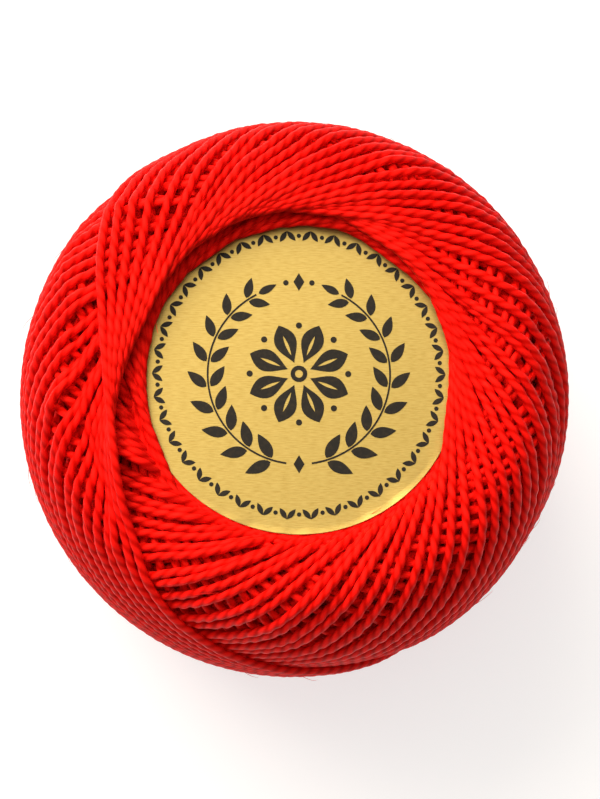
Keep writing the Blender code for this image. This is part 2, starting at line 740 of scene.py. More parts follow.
@dataclass
class WindingPlan:
    """Where each turn of the thread goes, oldest first.

    Attributes:
        radius: The ball's radius.
        turns_round: Turns of thread in one trip round the ball.
        trips: Trips round the ball that are modelled.
        last_azimuth: Azimuth of the last turn.
        closest_share: Closest distance to the axis that a newer turn keeps, as a share of
            the radius.
        older_shares: Age in trips round the ball, and that share at that age.
        last_shares: That share for the last turns, the very last one first.
        unevenness: How much the step between two turns varies, as a share of the step.
        paired_step: How much shorter and longer the steps are by turns, as a share of the step.
        last_evenness: How much of both is left in the last turns.
        wander_share: How much the closest distance varies, as a share of the radius.
    """

    radius: float
    turns_round: float = 71.0
    trips: float = 2.35
    last_azimuth: float = math.radians(186.0)
    closest_share: float = 0.562
    older_shares: tuple[tuple[float, float], ...] = (
        (0.30, 0.562),
        (0.46, 0.524),
        (0.50, 0.520),
        (0.56, 0.527),
        (0.62, 0.533),
        (0.72, 0.540),
        (0.85, 0.530),
        (0.92, 0.556),
        (0.96, 0.546),
        (1.02, 0.532),
        (1.40, 0.526),
    )
    last_shares: tuple[float, ...] = (0.650, 0.638, 0.624, 0.604, 0.586, 0.570)
    unevenness: float = 0.22
    paired_step: float = 0.16
    last_evenness: float = 0.3
    wander_share: float = 0.005

    def age(self, azimuth: float) -> float:
        """Return how many trips round the ball before the last turn an azimuth's turn is."""
        return (self.last_azimuth - azimuth) / (2 * math.pi)

    def turns(self) -> list[Turn]:
        """Work out the turns.

        Returns:
            The turns, oldest first.
        """
        chance = np.random.default_rng(SEED)
        count = int(self.turns_round * self.trips)
        step = 2 * math.pi / self.turns_round
        azimuth = self.last_azimuth
        turns = []
        for index in range(count):
            share = float(np.interp(self.age(azimuth), *zip(*self.older_shares)))
            share += self.wander_share * chance.standard_normal()
            pair = self.paired_step if index % 2 else -self.paired_step
            uneven = self.unevenness * chance.uniform(-1.0, 1.0) + pair
            if index < len(self.last_shares):
                share = self.last_shares[index]
                uneven *= self.last_evenness
            turns.append(Turn(azimuth, share * self.radius))
            azimuth -= step * (1 + uneven)
        return turns[::-1]


@dataclass
class LaidThread:
    """Points of the thread in the order in which it was laid, oldest first.

    Attributes:
        along: Distance along the meridian for each point.
        azimuth: Azimuth of each point.
        height: Height of the thread's middle over the ball's outline.
        first_points: Index of each turn's first point.
    """

    along: np.ndarray
    azimuth: np.ndarray
    height: np.ndarray
    first_points: list[int]


@dataclass
class Winder:
    """Lays the turns of thread over the ball, each one taut over those before it.

    Attributes:
        outline: The ball's outline.
        plan: Where the turns go.
        thickness: The thread's width across both plies.
        spacing: Distance between the points of the laid thread.
        path_points: Points on each arm of a turn before they are spaced out evenly.
        swung_from: Where an arm starts to swing to its place on the bottom end, as a share
            of the meridian.
        swung_to: Where it is there.
        cells_round: Cells of the height map round the ball.
        feelers: How many lines across the thread feel for what lies under it.
        feeler_reach: How far out the outer ones are, as a share of half the thread's width.
        least_bend: The least curvature that a turn is laid with, as a share of the ball's.
        pressed_share: How much of its height the thread keeps where another crosses it.
        crowding_limit: How many times over the turns may cover the ball before they press
            each other flat.
        crowded_share: The least share of its height that crowded thread keeps.
        lip_share: Share of the radius inside which the lips are, where nothing is measured.
        grown_reach: How many points to each side the growth is smoothed over.
        tops_reach: How many points to each side the level of the tops is smoothed over.
        tops_percent: How much of the surface lies under the level of the tops.
        evened_from_share: Share of the radius where the two sides start to be evened out.
        evened_to_share: Share of the radius where they are evened out in full.
        evened_columns: How many points to each side along the meridian the evening covers.
        evened_angle: How far to each side round the ball it covers, in degrees.
        evened_crest: How much higher a crest is that counts nearly three times as much.
        piled_from: Height over the outline from which piled turns are pressed down.
        piled_share: How much of their height over that they lose.
        surface: Height of the thread over the form, one row for each step round the ball and
            one column for each point of the meridian.
        buried: How far the form has shrunk at each point of the meridian.
        tops: How high the tops of the last turns stand at each point of the meridian.
        uneven: How much thicker than all round the ball grew, laid out as the surface is.
        growth: How much each turn made the ball grow at each point of the meridian.
    """

    outline: BallOutline
    plan: WindingPlan
    thickness: float
    spacing: float = 0.1 * MM
    path_points: int = 460
    swung_from: float = 0.22
    swung_to: float = 0.78
    cells_round: int = 1100
    feelers: int = 9
    feeler_reach: float = 0.92
    least_bend: float = 0.75
    pressed_share: float = 0.90
    crowding_limit: float = 1.15
    crowded_share: float = 0.20
    lip_share: float = 0.60
    grown_reach: int = 11
    tops_reach: int = 15
    tops_percent: float = 85.0
    evened_from_share: float = 0.54
    evened_to_share: float = 0.78
    evened_columns: int = 20
    evened_angle: float = 9.0
    evened_crest: float = 0.10 * MM
    piled_from: float = 0.15 * MM
    piled_share: float = 0.65
    surface: np.ndarray = field(init=False)
    buried: np.ndarray = field(init=False)
    tops: np.ndarray = field(init=False)
    uneven: np.ndarray = field(init=False)
    growth: list[np.ndarray] = field(init=False)

    def __post_init__(self) -> None:
        """Start with a bare form."""
        self.growth = []
        self.clear()

    def clear(self) -> None:
        """Take all the thread off the form."""
        self.surface = np.zeros((self.cells_round, len(self.outline.along)))
        self.buried = np.zeros(len(self.outline.along))
        self.tops = np.zeros(len(self.outline.along))
        self.uneven = np.zeros_like(self.surface)

    def crowding(self, out: np.ndarray) -> np.ndarray:
        """Work out how much of its thickness the thread keeps where turns crowd together.

        Args:
            out: Distances from the axis.

        Returns:
            A share, smallest next to the holes.
        """
        closest = self.plan.closest_share * self.outline.radius
        # The sine of the angle at which a turn crosses a circle round the axis, off zero.
        sine = np.sqrt(np.maximum(1 - (closest / np.maximum(out, closest)) ** 2, 0.01))
        cover = self.plan.turns_round * 2 * self.thickness / (2 * math.pi * out * sine)
        return np.clip(self.crowding_limit / cover, self.crowded_share, 1.0)

    def loop(self, before: Turn, turn: Turn, after: Turn) -> tuple[np.ndarray, np.ndarray]:
        """Trace one turn, up its first arm and down its second.

        Args:
            before: The turn laid before this one.
            turn: The turn itself.
            after: The turn laid after this one.

        Returns:
            Distance along the meridian and azimuth of each point.
        """
        arms = []
        for other, side in ((before, -1.0), (after, 1.0)):
            # The arm starts as the shortest path at this turn's closest distance, and drifts
            # to the one at the distance half way to the neighbour's.
            low = (turn.closest + other.closest) / 2
            along_top, turn_top, length = self.outline.half_loop(turn.closest, self.path_points)
            along_low, turn_low, _ = self.outline.half_loop(low, self.path_points)
            share = np.linspace(0.0, 1.0, self.path_points)
            along = along_top + (along_low - along_top) * share
            angle = turn_top + (turn_low - turn_top) * share
            # It swings on the way, so that it meets the neighbour's arm on the bottom end.
            wanted = math.pi + abs(other.azimuth - turn.azimuth) / 2
            swung = along / self.outline.along[-1] - self.swung_from
            swung = ease(np.clip(swung / (self.swung_to - self.swung_from), 0.0, 1.0))
            angle += (wanted - angle[-1]) * swung
            even = np.linspace(0.0, 1.0, int(length / self.spacing))
            along = np.interp(even, share, along)
            angle = turn.azimuth + side * np.interp(even, share, angle)
            arms.append((along, angle))
        first, second = arms
        along = np.concatenate([first[0][::-1], second[0][1:]])
        azimuth = np.concatenate([first[1][::-1], second[1][1:]])
        return along[:-1], azimuth[:-1]

    def taut(self, rest: np.ndarray, curvature: np.ndarray) -> np.ndarray:
        """Pull a thread taut over the heights that it has to clear.

        Args:
            rest: Lowest height that clears what is under each point.
            curvature: The ball's curvature along the thread at each point.

        Returns:
            The height of the taut thread at each point.
        """
        slope = np.cumsum(curvature) * self.spacing
        sag = np.cumsum(slope) * self.spacing
        lifted = rest - sag
        # A taut thread is the upper hull of what it clears, seen as if the ball were flat.
        keep: list[int] = []
        for index in range(len(lifted)):
            while len(keep) >= 2:
                left, right = keep[-2], keep[-1]
                over = (lifted[right] - lifted[left]) * (index - left)
                if over > (lifted[index] - lifted[left]) * (right - left):
                    break
                keep.pop()
            keep.append(index)
        hull = np.interp(np.arange(len(lifted)), keep, lifted[keep])
        return hull + sag

    def lay(self, along: np.ndarray, azimuth: np.ndarray, lid: np.ndarray | None) -> np.ndarray:
        """Lay one turn and add it to the height map.

        Args:
            along: Distance along the meridian of each point.
            azimuth: Azimuth of each point.
            lid: Height map of the label, if the turn passes over it.

        Returns:
            Height of the thread's middle at each point.
        """
        outline = self.outline
        out = outline.at(along, outline.out)
        round_step = np.gradient(azimuth) * out
        along_step = np.gradient(along)
        length = np.maximum(np.hypot(round_step, along_step), 1e-9)
        round_share = round_step / length
        along_share = along_step / length
        half = self.thickness / 2
        keep = self.crowding(out)
        depth = half * self.pressed_share
        columns = []
        for offset in np.linspace(-self.feeler_reach, self.feeler_reach, self.feelers) * half:
            row = (azimuth - offset * along_share / out) / (2 * math.pi) * self.cells_round
            column = (along + offset * round_share) / outline.along[-1]
            column = column * (len(outline.along) - 1)
            cell = (
                np.floor(row).astype(int) % self.cells_round,
                np.clip(np.rint(column).astype(int), 0, len(outline.along) - 1),
            )
            rise = depth * math.sqrt(1 - (offset / half) ** 2)
            columns.append((cell, rise))
        rest = np.max([self.surface[cell] + rise for cell, rise in columns], axis=0)
        rest = rest - (1 - keep) * 2 * depth
        if lid is not None:
            on_lid = [lid[cell] - self.buried[cell[1]] + rise for cell, rise in columns]
            rest = np.maximum(rest, np.max(on_lid, axis=0))
        across = outline.at(along, outline.normal_out) / out
        curvature = along_share**2 * outline.at(along, outline.bend) + round_share**2 * across
        curvature = np.maximum(curvature, self.least_bend / outline.radius)
        height = self.taut(rest, curvature)
        for cell, rise in columns:
            np.maximum.at(self.surface, cell, height + rise)
        return height

    def settle(self, index: int) -> None:
        """Let the form shrink by what was laid, so that the ball keeps its outline.

        Args:
            index: Number of the turn that was laid.
        """
        if index == len(self.growth):
            self.growth.append(self.grown())
        self.surface -= self.growth[index]
        self.buried += self.growth[index]

    def between_lips(self, levels: np.ndarray, reach: int) -> np.ndarray:
        """Carry levels on over the lips, where too many turns crowd, and smooth them.

        Args:
            levels: A level for each point of the meridian.
            reach: How many points to each side they are smoothed over.

        Returns:
            The smooth levels.
        """
        held = np.nonzero(self.outline.out > self.lip_share * self.outline.radius)[0]
        levels[:held[0]] = levels[held[0]]
        levels[held[-1] + 1:] = levels[held[-1]]
        return smoothed(levels, reach)

    def grown(self) -> np.ndarray:
        """Return how much the thread has grown for each point of the meridian."""
        return self.between_lips(self.surface.mean(axis=0), self.grown_reach)

    def top_level(self) -> np.ndarray:
        """Return how high the tops of the top turns stand, for each point of the meridian."""
        level = np.percentile(self.surface, self.tops_percent, axis=0)
        return self.between_lips(level, self.tops_reach)

    def wind(self, sheet: "FoilSheet | None" = None, middle: float = 0.0) -> LaidThread:
        """Lay all the turns.

        Args:
            sheet: The label, if it is already known where it lies.
            middle: Height of the ball's middle.

        Returns:
            The laid thread, its heights measured from the ball's outline.
        """
        lid = None if sheet is None else self.lid(sheet, middle)
        tops = self.tops
        self.clear()
        turns = self.plan.turns()
        along, azimuth, height, first_points = [], [], [], []
        total = 0
        for index, turn in enumerate(turns):
            before = turns[max(index - 1, 0)]
            after = turns[min(index + 1, len(turns) - 1)]
            path, angle = self.loop(before, turn, after)
            first_points.append(total)
            total += len(path)
            along.append(path)
            azimuth.append(angle)
            over = sheet is not None and sheet.is_under(turn, self.plan.age(turn.azimuth))
            lifted = self.lay(path, angle, lid if over else None)
            height.append(lifted + self.outline.at(path, self.buried))
            self.settle(index)
        path = np.concatenate(along)
        angles = np.concatenate(azimuth)
        self.tops = self.top_level() if sheet is None else tops
        self.uneven = self.unevenness()
        level = self.outline.at(path, self.buried + self.tops)
        level += self.read(self.uneven, path, angles)
        heights = np.concatenate(height) - level
        heights -= np.maximum(heights - self.piled_from, 0.0) * self.piled_share
        return LaidThread(path, angles, heights, first_points)

    def read(self, heights: np.ndarray, along: np.ndarray, azimuth: np.ndarray) -> np.ndarray:
        """Read a height map between its cells.

        Args:
            heights: The map, one row for each azimuth and one column for each step along.
            along: Distance along the meridian of each point.
            azimuth: Azimuth of each point.

        Returns:
            The height at each point.
        """
        row = azimuth / (2 * math.pi) * self.cells_round - 0.5
        column = along / self.outline.along[-1] * (len(self.outline.along) - 1)
        left = np.clip(np.floor(column).astype(int), 0, len(self.outline.along) - 2)
        low = np.floor(row).astype(int)
        right_share = np.clip(column - left, 0.0, 1.0)
        high_share = row - low
        result = np.zeros_like(along)
        for up, share in ((0, 1 - high_share), (1, high_share)):
            cells = (low + up) % self.cells_round
            here = heights[cells, left] * (1 - right_share)
            there = heights[cells, left + 1] * right_share
            result += share * (here + there)
        return result

    def lid(self, sheet: "FoilSheet", middle: float) -> np.ndarray:
        """Lay the label's face out as a height map over the form that the turns will have.

        Args:
            sheet: The label.
            middle: Height of the ball's middle.

        Returns:
            The height map, about a metre under the form where there is no label.
        """
        outline = self.outline
        half = len(outline.along) // 2
        lid = np.full(self.surface.shape, -1.0)
        turns = np.arange(self.cells_round) / self.cells_round * 2 * math.pi
        for column in np.nonzero(outline.out[:half] <= sheet.radius)[0]:
            out = outline.out[column]
            for row, turn in enumerate(turns):
                face = sheet.height(out * math.cos(turn), out * math.sin(turn))
                lid[row, column] = face - middle - outline.up[column]
        return lid + self.buried + self.tops

    def unevenness(self) -> np.ndarray:
        """Work out how much thicker than all round the ball grew at each place.

        The machine rolls the ball round, so this is taken off again where the ball is wide.

        Returns:
            The extra height, laid out as the surface is.
        """
        # The crests count more than the gaps, and are averaged over a patch of the ball.
        crests = np.exp((self.surface - self.surface.mean(axis=0)) / self.evened_crest)
        wide = self.evened_columns
        padded = np.pad(crests, ((0, 0), (wide + 1, wide)), mode="edge")
        total = np.cumsum(padded, axis=1)
        crests = (total[:, 2 * wide + 1:] - total[:, :-2 * wide - 1]) / (2 * wide + 1)
        cells = np.arange(self.cells_round)
        apart = np.minimum(cells, self.cells_round - cells) / self.cells_round * 360
        window = np.exp(-((apart / self.evened_angle) ** 2) / 2)
        window /= window.sum()
        spread = np.fft.fft(crests, axis=0) * np.fft.fft(window)[:, None]
        crests = np.fft.ifft(spread, axis=0).real
        extra = np.log(np.maximum(crests, 1e-6)) * self.evened_crest
        extra -= extra.mean(axis=0)
        share = self.outline.out / self.outline.radius - self.evened_from_share
        share /= self.evened_to_share - self.evened_from_share
        return extra * ease(np.clip(share, 0.0, 1.0))


class Ply(Enum):
    """How finely a stretch of thread is modelled.

    Attributes:
        stem: What the names of its pieces start with.
        spacing: Distance between the points along it.
        sides: Number of its sides.
        parts: Number of pieces that it is cut into.
    """

    TOP = ("thread_top", 0.175 * MM, 8, 4)
    UNDER = ("thread_under", 0.48 * MM, 6, 2)

    def __init__(self, stem: str, spacing: float, sides: int, parts: int) -> None:
        """Keep the values under their names.

        Args:
            stem: What the names of its pieces start with.
            spacing: Distance between the points along it.
            sides: Number of its sides.
            parts: Number of pieces that it is cut into.
        """
        self.stem = stem
        self.spacing = spacing
        self.sides = sides
        self.parts = parts


@dataclass
class LooseFibres:
    """Short cotton hairs that stand off the thread.

    Attributes:
        thread_width: Width of the thread that they come out of.
        middle: Height of the ball's middle.
        floor: Height of what the ball stands on, which none may reach through.
        count: How many there are.
        width: Their width.
        lengths_mm: Shortest and longest length.
        least: Least lift off the ball, lean in radians and curl, as shares of the length.
        most: The most of each.
        arch: How far each one arches over, in radians.
        root_share: How deep they are rooted, as a share of the thread's width.
        taper: How much thinner the tip is than the root.
        segments: Number of straight stretches in each.
        clear_points: How many points at each end of the thread carry none.
        heading_points: How many points to each side give the thread's direction.
        ball_flatness: How much flatter than a sphere the ball is taken to be.
    """

    thread_width: float
    middle: float
    floor: float
    count: int = 200
    width: float = 0.03 * MM
    lengths_mm: tuple[float, float] = (0.6, 1.8)
    least: tuple[float, float, float] = (0.04, -0.6, -0.3)
    most: tuple[float, float, float] = (0.22, 0.6, 0.3)
    arch: float = 2.2
    root_share: float = 0.4
    taper: float = 0.5
    segments: int = 6
    clear_points: int = 10
    heading_points: int = 3
    ball_flatness: float = 0.8

    def build(self, places: np.ndarray) -> bpy.types.Object:
        """Model the fibres along a stretch of thread.

        Args:
            places: Points along the thread's middle.

        Returns:
            The mesh object.
        """
        chance = np.random.default_rng(SEED + 2)
        curve = bpy.data.curves.new("loose_fibres", "CURVE")
        curve.dimensions = "3D"
        curve.bevel_depth = self.width / 2
        curve.bevel_resolution = 0
        last = len(places) - self.clear_points
        for index in chance.integers(self.clear_points, last, self.count):
            ahead = places[index + self.heading_points] - places[index - self.heading_points]
            ahead /= np.linalg.norm(ahead)
            away = places[index] - np.array([0.0, 0.0, self.middle])
            away /= np.array([1.0, 1.0, self.ball_flatness])
            away -= ahead * (away @ ahead)
            away /= np.linalg.norm(away)
            beside = np.cross(ahead, away)
            length = chance.uniform(*self.lengths_mm) * MM
            lift, lean, curl = chance.uniform(self.least, self.most)
            root = places[index] + away * self.thread_width * self.root_share
            spline = curve.splines.new("POLY")
            spline.points.add(self.segments)
            for number, point in enumerate(spline.points):
                run = number / self.segments
                place = root + ahead * length * run * math.cos(lean)
                place += beside * length * (run * math.sin(lean) + curl * run * run)
                place += away * length * lift * math.sin(run * self.arch)
                place[2] = max(place[2], self.floor + self.width)
                point.co = (*place, 1.0)
                point.radius = 1.0 - self.taper * run
        mesh = curve_mesh(curve)
        # The UV map is that of the crest of a ply, clear of the painted shade in the groove.
        for corner in mesh.uv_layers[0].data:
            corner.uv = (corner.uv[0] * 2.0, 0.5)
        return add_object("loose_fibres", mesh)


@dataclass
class ThreadBall:
    """The wound thread: the top turns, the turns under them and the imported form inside.

    Attributes:
        low: Lowest corner of the ball.
        high: Highest corner of the ball.
        thread_width: The thread's width across both plies.
        twist_length: Length of one full twist of the plies.
        groove_share: Depth of the groove between the plies, as a share of half the width.
        top_turns: How many of the last turns are modelled finely.
        pit_radius: Radius of the hole in each end.
        pit_depth: Depth of the hole in each end.
        form_rings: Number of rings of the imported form's side.
        form_steps: Number of its steps round the axis.
        label_clearance: How far outside the label the thread starts to bend clear of it.
        bending_share: Share of that distance over which the bend comes in.
        least_upright: Least upward part of the surface's normal that it is worked out with.
        fine_from: Height from which the thread is modelled at its full fineness.
        coarse_to: Height under which it is modelled more coarsely.
        coarse_share: How much further apart the points are there.
        middle: Height of the ball's middle.
        outline: The ball's outline.
        winder: What lays the turns.
    """

    low: Vector
    high: Vector
    thread_width: float = 0.495 * MM
    twist_length: float = 1.70 * MM
    groove_share: float = 0.12
    top_turns: int = 80
    pit_radius: float = 8.8 * MM
    pit_depth: float = 3.0 * MM
    form_rings: int = 60
    form_steps: int = 96
    label_clearance: float = 1.1 * MM
    bending_share: float = 0.85
    least_upright: float = 0.3
    fine_from: float = 5.0 * MM
    coarse_to: float = 3.0 * MM
    coarse_share: float = 0.7
    middle: float = field(init=False)
    outline: BallOutline = field(init=False)
    winder: Winder = field(init=False)

    def __post_init__(self) -> None:
        """Take the outline's sizes from the ball's box and wind the ball without its label."""
        radius = (self.high.x - self.low.x) / 2
        self.middle = self.low.z + BALL_HEIGHT / 2
        self.outline = BallOutline(radius, BALL_HEIGHT / 2)
        self.winder = Winder(self.outline, WindingPlan(radius), self.thread_width)
        self.winder.wind()

    def points(self, thread: LaidThread, first: int, last: int, spacing: float) -> np.ndarray:
        """Place a stretch of the laid thread in space.

        Args:
            thread: The laid thread.
            first: Its first point.
            last: The point after its last one.
            spacing: Distance between the points wanted.

        Returns:
            One row of x, y and z for each point.
        """
        azimuth = thread.azimuth[first:last]
        out, up = self.outline.lifted(thread.along[first:last], thread.height[first:last])
        up = np.maximum(up + self.middle, self.low.z + self.thread_width / 2)
        place = np.stack([out * np.cos(azimuth), out * np.sin(azimuth), up], 1)
        run = np.linalg.norm(np.diff(place, axis=0), axis=1)
        low = np.clip((self.fine_from - place[1:, 2]) / (self.fine_from - self.coarse_to), 0, 1)
        count = np.cumsum(run / (spacing * (1 + self.coarse_share * low)))
        count = np.concatenate([[0.0], count])
        even = np.linspace(0.0, count[-1], int(count[-1]) + 1)
        return np.stack([np.interp(even, count, place[:, axis]) for axis in range(3)], 1)

    def strand(self, name: str, ply: Ply, places: np.ndarray) -> bpy.types.Object:
        """Model one stretch of thread: a tube whose two plies are twisted into it.

        The UV map runs along the thread, in millimetres, and across the plies: it is a whole
        number where they meet and half way between whole numbers at their crests.

        Args:
            name: The piece's name.
            ply: How finely it is modelled.
            places: Points along its middle.

        Returns:
            The mesh object.
        """
        curve = bpy.data.curves.new(name, "CURVE")
        curve.dimensions = "3D"
        curve.twist_mode = "MINIMUM"
        curve.bevel_mode = "ROUND"
        curve.bevel_depth = self.thread_width / 2
        curve.bevel_resolution = ply.sides // 2 - 2
        curve.use_fill_caps = True
        spline = curve.splines.new("POLY")
        spline.points.add(len(places) - 1)
        weighted = np.concatenate([places, np.ones((len(places), 1))], axis=1)
        spline.points.foreach_set("co", weighted.ravel())
        mesh = curve_mesh(curve)
        self.twist(mesh, places)
        mesh.shade_smooth()
        return add_object(name, mesh)

    def twist(self, mesh: bpy.types.Mesh, places: np.ndarray) -> None:
        """Press the groove between the plies into a tube and turn its UV map with them.

        Args:
            mesh: The tube.
            places: Points along its middle.
        """
        last = len(places) - 1
        run = np.linalg.norm(np.diff(places, axis=0), axis=1)
        run = np.concatenate([[0.0], np.cumsum(run)])
        layer = mesh.uv_layers[0]
        uv = np.empty(len(mesh.loops) * 2)
        layer.data.foreach_get("uv", uv)
        uv = uv.reshape(-1, 2)
        corner = np.empty(len(mesh.loops), dtype=np.int64)
        mesh.loops.foreach_get("vertex_index", corner)
        row = np.clip(np.rint(uv[:, 0] * last).astype(np.int64), 0, last)
        across = 2 * (uv[:, 1] + run[row] / self.twist_length)
        centre = np.zeros((len(mesh.vertices), 3))
        centre[corner] = places[row]
        phase = np.zeros(len(mesh.vertices))
        phase[corner] = across
        place = np.empty(len(mesh.vertices) * 3)
        mesh.vertices.foreach_get("co", place)
        place = place.reshape(-1, 3)
        size = 1 - self.groove_share * np.cos(math.pi * phase) ** 2
        place = centre + (place - centre) * size[:, None]
        mesh.vertices.foreach_set("co", place.ravel())
        uv = np.stack([run[row] / MM, across], axis=1)
        layer.data.foreach_set("uv", uv.ravel())

    def thread_top(self, azimuth: float, out: float) -> float:
        """Read how high the top of the thread stands on the top end of the ball.

        Args:
            azimuth: Where round the axis, in radians.
            out: Distance from the axis.

        Returns:
            The height.
        """
        outline = self.outline
        half = len(outline.along) // 2
        column = int(np.searchsorted(outline.out[:half], out))
        row = int(azimuth / (2 * math.pi) * self.winder.cells_round) % self.winder.cells_round
        lift = self.winder.surface[row, column] - self.winder.tops[column]
        return float(outline.up[column] + lift * outline.normal_up[column] + self.middle)

    def form(self) -> bpy.types.Object:
        """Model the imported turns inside: a turned form just under the lowest laid turn.

        Returns:
            The mesh object.
        """
        out, up = self.outline.lifted(
            self.outline.along,
            -(self.winder.buried + self.winder.tops),
        )
        kept = np.nonzero(out > self.pit_radius)[0]
        rings = np.linspace(kept[0], kept[-1], self.form_rings).astype(int)
        pit_floor = self.high.z - self.pit_depth
        pit_roof = self.low.z + self.pit_depth
        profile = [(0.0, pit_floor), (self.pit_radius, pit_floor)]
        profile += [(out[ring], up[ring] + self.middle) for ring in rings]
        profile += [(self.pit_radius, pit_roof), (0.0, pit_roof)]
        shape = turned(profile[::-1], self.form_steps)
        bmesh.ops.recalc_face_normals(shape, faces=shape.faces)
        mesh = bpy.data.meshes.new("packed_turns")
        shape.to_mesh(mesh)
        shape.free()
        mesh.shade_smooth()
        return add_object("packed_turns", mesh)

    def clear_label(self, thread: LaidThread, sheet: "FoilSheet") -> None:
        """Press the turns that pass under the label down, clear of it.

        Args:
            thread: The laid thread.
            sheet: The label.
        """
        outline = self.outline
        plan = self.winder.plan
        half = len(outline.along) // 2
        reach = sheet.radius + self.label_clearance
        limit = outline.along[np.searchsorted(outline.out[:half], reach)]
        gap = self.thread_width / 2 + sheet.thickness
        starts = thread.first_points + [len(thread.along)]
        for turn, begin, end in zip(plan.turns(), starts[:-1], starts[1:]):
            near = begin + np.nonzero(thread.along[begin:end] < limit)[0]
            if not len(near) or sheet.is_under(turn, plan.age(turn.azimuth)):
                continue
            along = thread.along[near]
            out, up = outline.lifted(along, thread.height[near])
            face = np.array([
                sheet.height(held * math.cos(angle), held * math.sin(angle))
                for held, angle in zip(np.minimum(out, sheet.radius), thread.azimuth[near])
            ])
            # Full over the label and a little past its edge, none at the clearance.
            bending = self.bending_share * self.label_clearance
            weight = ease(np.clip((reach - out) / bending, 0.0, 1.0))
            move = np.minimum(face - gap - (up + self.middle), 0.0)
            # A height is measured along the normal, which leans outwards on the shoulder.
            upright = np.maximum(outline.at(along, outline.normal_up), self.least_upright)
            thread.height[near] += move * weight / upright

    def build(self, sheet: "FoilSheet") -> list[bpy.types.Object]:
        """Model the wound ball.

        Args:
            sheet: The label, which the turns have to clear.

        Returns:
            Its pieces.
        """
        thread = self.winder.wind(sheet, self.middle)
        self.clear_label(thread, sheet)
        starts = thread.first_points + [len(thread.along)]
        count = len(thread.first_points)
        first_top = count - self.top_turns
        cuts = []
        for ply, begin, end in ((Ply.UNDER, 0, first_top), (Ply.TOP, first_top, count)):
            ends = [begin + (end - begin) * part // ply.parts for part in range(ply.parts + 1)]
            cuts += [(ply, first, last) for first, last in zip(ends[:-1], ends[1:])]
        cotton = PearlCotton().make()
        pieces = []
        for number, (ply, first, last) in enumerate(cuts, start=1):
            # One point more than its own turns have, so that it meets the next piece.
            stop = min(starts[last] + 1, len(thread.along))
            places = self.points(thread, starts[first], stop, ply.spacing)
            pieces.append(self.strand(f"{ply.stem}_{number}", ply, places))
        places = self.points(thread, starts[first_top], len(thread.along), Ply.TOP.spacing)
        pieces.append(LooseFibres(self.thread_width, self.middle, self.low.z).build(places))
        for piece in pieces:
            piece.data.materials.append(cotton)
        inside = self.form()
        # The form inside gets painted shade: a darker copy of the cotton, for the deep gaps.
        inside.data.materials.append(PackedCottonPaintedShade().make())
        return pieces + [inside]


# --- The label -------------------------------------------------------------------------------


